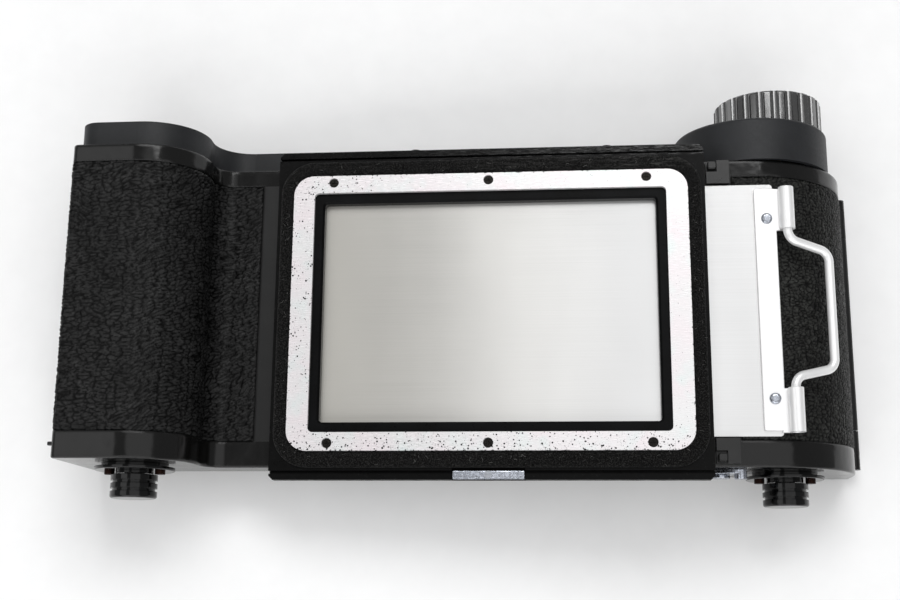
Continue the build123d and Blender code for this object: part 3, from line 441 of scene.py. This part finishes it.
NODE_FINISHES = {
    "mount_plate": plate_black(),
    "slide_bracket_top": bracket_finish,
    "slide_bracket_bottom": bracket_finish,
    "slide_handle": handle_finish,
    "wire_bail": handle_finish,
    "catch_screw": FINISHES["steel"],
    "slide_rivets": FINISHES["chrome"],
    "supply_pull_knob": pull_finish,
    "takeup_pull_knob": pull_finish,
    "supply_knob_flange": pull_finish,
    "takeup_knob_flange": pull_finish,
    "flange_screws": dark_metal("rusty_screws", 0.02, 0.4, (1.0, 0.36, 0.22)),
}

for part in frame["record"]["subparts"]:
    material = NODE_FINISHES.get(part["node"], FINISHES[part["material_slot"]])
    slots = cad[part["node"]].data.materials
    slots.clear()
    slots.append(material)


# ---- mesh helpers -------------------------------------------------------------------------------
def mesh_object(name, vertices, faces, material, smooth=True):
    """Object made from vertices in metres and faces."""
    mesh = bpy.data.meshes.new(name)
    mesh.from_pydata(vertices, [], faces)
    mesh.validate()
    mesh.polygons.foreach_set("use_smooth", [smooth] * len(mesh.polygons))
    mesh.materials.append(material)
    made = bpy.data.objects.new(name, mesh)
    bpy.context.scene.collection.objects.link(made)
    return made


def arc(centre, radius, start, end):
    """Points (x, z) every degree or so along an arc, angles in degrees."""
    angles = np.radians(np.linspace(start, end, int(abs(end - start)) + 2))
    return np.column_stack([centre[0] + radius * np.cos(angles), centre[1] + radius * np.sin(angles)])


def even_path(stretches, spacing):
    """A path resampled evenly: points, outward normals (left of travel) and distances, in mm."""
    rough = np.vstack(stretches)
    gaps = np.hypot(*np.diff(rough, axis=0).T)
    rough = rough[np.concatenate([[True], gaps > 1e-6])]
    reach = np.concatenate([[0], np.cumsum(np.hypot(*np.diff(rough, axis=0).T))])
    count = int(reach[-1] / spacing) + 1
    along = np.linspace(0, reach[-1], count)
    points = np.column_stack([np.interp(along, reach, rough[:, 0]), np.interp(along, reach, rough[:, 1])])
    tangents = np.gradient(points, axis=0)
    tangents /= np.hypot(*tangents.T)[:, None]
    normals = np.column_stack([-tangents[:, 1], tangents[:, 0]])
    return points, normals, along


SKIN_DEPTH = 0.74  # the skins fill their recesses almost to the floor
CREST_LEVEL = 0.62  # grain of this height lies on the CAD face, and all below it is sunk
TUCK_DROP = 0.28  # how far the skins' edges are pressed in
TUCK_WIDTH = 0.7


def grain_height(along, height, seed, cell, lift_from, lift):
    """Leather grain from 0 in the creases to 1 on the crests, cells drawn out along the path."""
    bend = 1.6 * soft_noise(along / 9, height / 11, seed)
    bend = bend + 0.5 * soft_noise(along / 3.1, height / 2.6, seed + 1)
    slant = lift * np.clip(along - lift_from, 0, None)
    across = along + 0.7 * soft_noise(along / 2.3, height / 1.9, seed + 2)
    up = height + bend - slant
    coarse = step_up(cell_ridge(across / cell[0], up / cell[1], seed + 3), 0.0, 0.30)
    wavy = soft_noise(across / (0.8 * cell[0]), up / (0.6 * cell[1]), seed + 4)
    wrinkles = step_up(np.abs(wavy), 0.0, 0.20)
    swell = 0.5 + 0.5 * soft_noise(across / (0.9 * cell[0]), up / cell[1], seed + 5)
    fine = 0.5 + 0.5 * soft_noise(along / 0.55, up / 0.42, seed + 6)
    return np.clip(0.46 * coarse + 0.26 * wrinkles + 0.20 * swell + 0.12 * fine, 0, 1)


def leather_skin(name, stand_for, body, stretches, spacing, cell, seed, material, deep, lift_from=0, lift=0):
    """Closed leatherette skin over a CAD one: face displaced by deep mm, tucked edges, flat back."""
    low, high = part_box(stand_for)
    bottom, top = low.y / MM + 0.05, high.y / MM - 0.05
    points, normals, along = even_path(stretches, spacing)
    heights = np.linspace(bottom, top, int((top - bottom) / spacing) + 1)
    grid_along, grid_y = np.meshgrid(along, heights, indexing="ij")
    crest = grain_height(grid_along, grid_y, seed, cell, lift_from, lift)
    edge = np.minimum.reduce([grid_along, along[-1] - grid_along, grid_y - bottom, top - grid_y])
    tuck = TUCK_DROP * (1 - step_up(edge, 0.0, TUCK_WIDTH))
    offset = deep * (crest - CREST_LEVEL) - tuck
    x = points[:, 0, None] + normals[:, 0, None] * offset
    z = points[:, 1, None] + normals[:, 1, None] * offset
    face = np.stack([x, grid_y, z], axis=-1).reshape(-1, 3)
    back = []
    for y in (bottom, top):
        inner = points - normals * SKIN_DEPTH
        back.append(np.column_stack([inner[:, 0], np.full(len(inner), y), inner[:, 1]]))
    rows = len(heights)
    columns = len(along)
    index = np.arange(columns * rows).reshape(columns, rows)
    back_low = columns * rows + np.arange(columns)
    back_high = back_low + columns
    corners = [index[:-1, :-1], index[:-1, 1:], index[1:, 1:], index[1:, :-1]]
    faces = np.stack(corners, axis=-1).reshape(-1, 4).tolist()
    for i in range(columns - 1):
        faces.append([back_low[i], back_low[i + 1], back_high[i + 1], back_high[i]])
        faces.append([index[i, 0], index[i + 1, 0], back_low[i + 1], back_low[i]])
        faces.append([index[i + 1, -1], index[i, -1], back_high[i], back_high[i + 1]])
    faces.append([*index[0, ::-1], back_low[0], back_high[0]])
    faces.append([*index[-1, :], back_high[-1], back_low[-1]])
    vertices = np.vstack([face, *back]) * MM
    skin = mesh_object(name, vertices.tolist(), [[int(i) for i in f] for f in faces], material)
    shade = np.concatenate([crest.ravel(), np.zeros(2 * columns)])
    skin.data.attributes.new("crest", "FLOAT", "POINT").data.foreach_set("value", shade)
    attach(skin, body)
    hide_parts(stand_for)


# ---- leatherette skins --------------------------------------------------------------------------
CORNER_R = 1.5  # front left edge of the body
BLEND_R = 5.0  # hollow between the left chamber and the middle
BULGE_R = 26.3  # right chamber
SIDE_Z = -2.4  # the left skin starts this far down the left side


def axis_of(knob):
    """(x, z) of a spool axis in mm, from the pull knob on it."""
    low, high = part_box(knob)
    return ((low.x + high.x) / 2 / MM, (low.z + high.z) / 2 / MM)


left_low, left_high = (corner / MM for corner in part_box("leather_left"))
right_low, right_high = (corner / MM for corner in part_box("leather_right"))
door_low, door_high = (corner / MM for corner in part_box("door_leather"))
supply = axis_of("supply_pull_knob")
middle_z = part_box("mount_plate")[0].z / MM
chamber_r = left_high.z - supply[1]
blend_dz = middle_z + BLEND_R - supply[1]
blend_angle = degrees(atan2(blend_dz, sqrt((chamber_r + BLEND_R) ** 2 - blend_dz**2)))
blend_centre = (
    supply[0] + (chamber_r + BLEND_R) * cos(radians(blend_angle)),
    supply[1] + (chamber_r + BLEND_R) * sin(radians(blend_angle)),
)
left_path = [
    [(left_low.x, SIDE_Z)],
    arc((left_low.x + CORNER_R, left_high.z - CORNER_R), CORNER_R, 180, 90),
    arc(supply, chamber_r, 90, blend_angle),
    arc(blend_centre, BLEND_R, 180 + blend_angle, 270),
    [(left_high.x - 0.05, middle_z)],
]
bulge_centre = (right_high.x - BULGE_R, middle_z - BULGE_R)
right_path = [
    [(right_low.x + 0.05, middle_z)],
    arc(bulge_centre, BULGE_R, 90, 0),
    [(right_high.x, right_low.z + 0.05)],
]
door_path = [[(door_high.x - 0.05, door_low.z)], [(door_low.x + 0.05, door_low.z)]]

# painted light: the right skin has its own copy of the leatherette, with brighter, greener painted crest
# highlights than the left
right_leather_lit_copy = leatherette("leatherette_right", grey(0.0008, GREENISH), grey(0.055, GREENISH))
leather_skin(
    "leather_left_skin", "leather_left", "body", left_path, 0.25, (2.5, 0.84), 11,
    FINISHES["leatherette"], deep=0.62, lift_from=38, lift=0.30,
)
leather_skin(
    "leather_right_skin", "leather_right", "body", right_path, 0.24, (1.3, 0.80), 23,
    right_leather_lit_copy, deep=0.50,
)
leather_skin(
    "door_leather_skin", "door_leather", "back_door", door_path, 0.42, (2.3, 1.0), 37,
    FINISHES["leatherette"], deep=0.36,
)


# ---- velvet seal --------------------------------------------------------------------------------
def rounded_rectangle(size, corner, counts):
    """Points round a rounded rectangle: counts are points on a long side, a short side and a corner."""
    points = []
    half_x, half_y = size[0] / 2 - corner, size[1] / 2 - corner
    sides = ((1, 1, 0), (-1, 1, 90), (-1, -1, 180), (1, -1, 270))
    for k, (sign_x, sign_y, start) in enumerate(sides):
        centre = (sign_x * half_x, sign_y * half_y)
        angles = np.radians(start + np.linspace(0, 90, counts[2], endpoint=False))
        points.extend((centre[0] + corner * cos(a), centre[1] + corner * sin(a)) for a in angles)
        following = sides[(k + 1) % 4]
        end = radians(start + 90)
        reach = np.array([corner * cos(end), corner * sin(end)])
        begin = np.array(centre) + reach
        stop = np.array([following[0] * half_x, following[1] * half_y]) + reach
        count = counts[0] if k % 2 == 0 else counts[1]
        points.extend(tuple(begin + (stop - begin) * t) for t in np.linspace(0, 1, count, endpoint=False))
    return np.array(points)


felt_low, felt_high = (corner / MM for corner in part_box("felt_seal"))
mask_low, mask_high = (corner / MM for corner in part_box("silver_mask"))
FELT_ROWS = 13
LOOP_COUNTS = (330, 230, 34)
FELT_CORNER_R = 8.5
MASK_CORNER_R = 5.1
MASK_GAP = 0.1  # between the mask and the nap round it
FIBRE_COUNT = 170
outer_loop = rounded_rectangle((2 * felt_high.x, 2 * felt_high.y), FELT_CORNER_R, LOOP_COUNTS)
inner_size = (2 * (mask_high.x + MASK_GAP), 2 * (mask_high.y + MASK_GAP))
inner_loop = rounded_rectangle(inner_size, MASK_CORNER_R, LOOP_COUNTS)


def felt_ring():
    """Closed velvet ring with a rough nap, rolled down at both edges."""
    loops = []
    for t in np.linspace(0, 1, FELT_ROWS):
        flat = inner_loop + (outer_loop - inner_loop) * t
        roll = 0.28 * (1 - step_up(np.array(min(t, 1 - t) * 3.6), 0.0, 0.55))
        nap = 0.13 * soft_noise(flat[:, 0] / 0.42, flat[:, 1] / 0.42, 3)
        nap = nap + 0.07 * soft_noise(flat[:, 0] / 1.9, flat[:, 1] / 1.9, 5)
        wobble = 0.08 * soft_noise(flat[:, 0] / 0.7, flat[:, 1] / 0.7, 9) * (0.05 < t < 0.95)
        loops.append(np.column_stack([flat + wobble[:, None], felt_high.z - 0.08 - roll + nap]))
    floor_z = np.full(len(outer_loop), felt_low.z)
    loops.append(np.column_stack([outer_loop, floor_z]))
    loops.append(np.column_stack([inner_loop, floor_z]))
    count = len(outer_loop)
    faces = []
    for row in range(len(loops)):
        next_row = (row + 1) % len(loops)
        for i in range(count):
            j = (i + 1) % count
            faces.append((row * count + i, next_row * count + i, next_row * count + j, row * count + j))
    ring = mesh_object("felt_nap", (np.vstack(loops) * MM).tolist(), faces, FINISHES["felt"])
    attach(ring, "body")
    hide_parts("felt_seal")


def lint_fibres():
    """Loose pale fibres caught in the velvet, thin bent prisms."""
    material = finish_material("lint", grey(0.06, WARM), grey(0.24, WARM), (0.8, 0.95), 3.0, 0.01)
    vertices = []
    faces = []
    for _ in range(FIBRE_COUNT):
        spot = int(rng.integers(len(outer_loop)))
        t = rng.uniform(0.1, 0.9)
        x, y = inner_loop[spot] + (outer_loop[spot] - inner_loop[spot]) * t
        heading = rng.uniform(0, pi) if rng.random() < 0.4 else rng.normal(0.0, 0.3)
        length = rng.uniform(0.25, 1.1)
        thick = rng.uniform(0.018, 0.035)
        curl = rng.uniform(-0.9, 0.9)
        first = len(vertices)
        for ring in range(4):
            s = ring / 3
            here = heading + curl * s
            px = x + length * s * cos(here)
            py = y + length * s * sin(here)
            pz = felt_high.z + 0.06 + 0.05 * sin(3 * s)
            for turn in (0, 2 * pi / 3, 4 * pi / 3):
                side = thick * cos(turn)
                vertices.append((px - side * sin(here), py + side * cos(here), pz + thick * sin(turn)))
        for ring in range(3):
            for k in range(3):
                a = first + 3 * ring + k
                b = first + 3 * ring + (k + 1) % 3
                faces.append((a, b, b + 3, a + 3))
        faces.append((first + 2, first + 1, first))
        faces.append((first + 9, first + 10, first + 11))
    lint = mesh_object("felt_lint", (np.array(vertices) * MM).tolist(), faces, material)
    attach(lint, "body")


felt_ring()
lint_fibres()


# ---- numerals on the counter dial ---------------------------------------------------------------
FRAME_COUNT = 8
NUMERAL_SIZE = 3.0
INK_DEPTH = 0.03


def dial_numerals():
    """Frame numbers round the dial, the first one under the window."""
    low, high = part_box("counter_dial")
    window_low, window_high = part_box("counter_window")
    centre = Vector(((low.x + high.x) / 2, high.y, (low.z + high.z) / 2))
    window = (window_low + window_high) / 2
    reach = Vector((window.x - centre.x, 0, window.z - centre.z))
    first = atan2(reach.z, reach.x)
    ink = finish_material("dial_ink", grey(0.010), grey(0.020), (0.4, 0.5), 5.0, 0.004)
    for number in range(1, FRAME_COUNT + 1):
        angle = first + (number - 1) * 2 * pi / FRAME_COUNT
        out = Vector((cos(angle), 0, sin(angle)))
        up = Vector((0, 1, 0))
        curve = bpy.data.curves.new(f"numeral_{number}", "FONT")
        curve.body = str(number)
        curve.size = NUMERAL_SIZE * MM
        curve.align_x = "CENTER"
        curve.align_y = "CENTER"
        curve.extrude = INK_DEPTH * MM
        source = bpy.data.objects.new(f"numeral_{number}_text", curve)
        bpy.context.scene.collection.objects.link(source)
        bpy.context.view_layer.update()
        mesh = bpy.data.meshes.new_from_object(source)
        bpy.data.objects.remove(source)
        across = out.cross(up)
        turn = Matrix((across, out, up)).transposed().to_4x4()
        turn.translation = centre + out * reach.length + up * 0.02 * MM
        mesh.transform(turn)
        mesh.materials.clear()
        mesh.materials.append(ink)
        numeral = bpy.data.objects.new(f"numeral_{number}", mesh)
        bpy.context.scene.collection.objects.link(numeral)
        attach(numeral, "counter")


dial_numerals()

# ---- floor, light and camera --------------------------------------------------------------------
FLOOR_TILT = 7.56  # the back rests on its door and the take-up bulge, degrees about Y
FLOOR_HALF = 2.5  # metres from the middle to the edge
FLOOR_GAP = 0.0003
ROOM_COLOUR = (0.985, 0.99, 1.0, 1)
ROOM_STRENGTH = 0.30
LIGHTS = (  # name, place, what it faces, size and radiance, in metres
    ("softbox", (0.14, 0.80, 1.15), (0, 0.03, 0), (0.90, 0.55), 5.3),
    ("right_panel", (0.44, -0.06, 1.0), (0.44, -0.06, 0), (1.06, 0.84), 0.78),
    ("left_panel", (-0.80, 0.05, 1.0), (-0.80, 0.05, 0), (0.84, 0.90), 1.10),
    ("front_panel", (0.0, -1.2, 0.85), (0, 0, 0), (2.2, 0.9), 2.1),
)
CAMERA_PLACE = (0.0199, -0.0699, 0.3088)
CAMERA_TURNS = ((0.75, "Z"), (-5.28, "Y"), (-13.13, "X"))
LENS_MM = 51.77


def make_floor():
    """Pale floor that the back lies on, touching the door's left edge and the bulge behind the spool."""
    low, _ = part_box("door")
    material = finish_material("floor", grey(0.93), grey(0.95), (0.75, 0.9), 0.4, 0.02)
    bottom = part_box("door_leather")[0].z
    slope = -tan(radians(FLOOR_TILT))
    corners = []
    for x, y in ((-1, -1), (1, -1), (1, 1), (-1, 1)):
        across = x * FLOOR_HALF
        corners.append((across, y * FLOOR_HALF, bottom - FLOOR_GAP + slope * (across - low.x)))
    mesh_object("floor", corners, [(0, 1, 2, 3)], material, smooth=False)


def area_light(name, place, target, size, radiance):
    """Rectangular white light of a given brightness, aimed at a point."""
    light = bpy.data.lights.new(name, "AREA")
    light.shape = "RECTANGLE"
    light.size, light.size_y = size
    light.energy = radiance * pi * size[0] * size[1]
    holder = bpy.data.objects.new(name, light)
    holder.location = place
    aim = Vector(target) - Vector(place)
    holder.rotation_euler = aim.to_track_quat("-Z", "Y").to_euler()
    bpy.context.scene.collection.objects.link(holder)


def make_light():
    """Bright softbox beyond the winding side, dim panels right, left and in front, and a soft even room."""
    world = bpy.data.worlds.new("studio")
    world.use_nodes = True
    background = world.node_tree.nodes["Background"]
    background.inputs[0].default_value = ROOM_COLOUR
    background.inputs[1].default_value = ROOM_STRENGTH
    bpy.context.scene.world = world
    for light in LIGHTS:
        area_light(*light)


def make_camera():
    """Camera above the back, looking down from its lower side."""
    data = bpy.data.cameras.new("camera")
    data.sensor_width = 36
    data.lens = LENS_MM
    data.clip_start = 0.01
    camera = bpy.data.objects.new("camera", data)
    turn = Matrix.Identity(4)
    for degrees_about, axis in CAMERA_TURNS:
        turn = turn @ Matrix.Rotation(radians(degrees_about), 4, axis)
    camera.matrix_world = Matrix.Translation(CAMERA_PLACE) @ turn.transposed()
    bpy.context.scene.collection.objects.link(camera)
    bpy.context.scene.camera = camera


make_floor()
make_light()
make_camera()
bpy.context.scene.view_settings.view_transform = "Standard"
